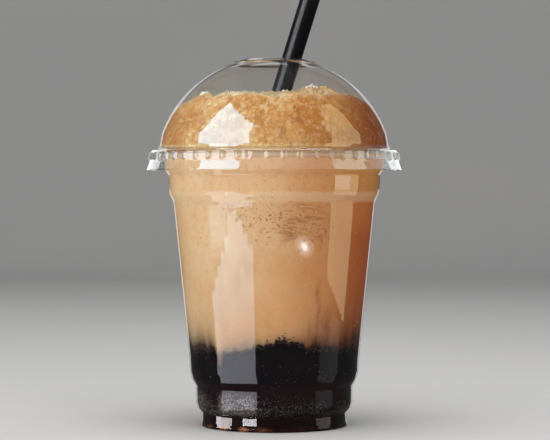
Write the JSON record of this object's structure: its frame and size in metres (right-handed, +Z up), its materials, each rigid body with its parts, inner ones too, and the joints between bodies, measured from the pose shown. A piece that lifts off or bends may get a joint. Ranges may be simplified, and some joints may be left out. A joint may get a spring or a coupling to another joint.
{
  "type": "iced coffee float",
  "caption": "Blended iced coffee drink in a clear stepped cup, dark jelly layer below, slushy heap under a clear dome lid, black straw leaning through the lid's hole.",
  "frame": {"origin": "middle of the cup's standing ring, on the surface it stands on", "axes": "+Z up along the cup's axis; the straw leans towards +X; -Y is the side shown in front"},
  "size_m": [0.1052, 0.1052, 0.2273],
  "materials": {
    "clear_cup": "clear thin plastic, glossy",
    "clear_lid": "clear thin plastic, glossy",
    "black_straw": "black plastic, satin gloss",
    "coffee_drink": "creamy tan blended drink with fine bubbles",
    "coffee_slush": "wet, coarse golden brown slush with a pale froth rim",
    "coffee_jelly": "very dark brown coffee jelly in syrup, glossy"
  },
  "bodies": {
    "root": {"cup": "clear_cup", "lid": "clear_lid", "straw": "black_straw", "drink": "coffee_drink", "slush_heap": "coffee_slush", "jelly_layer": "coffee_jelly"}
  },
  "joints": []
}
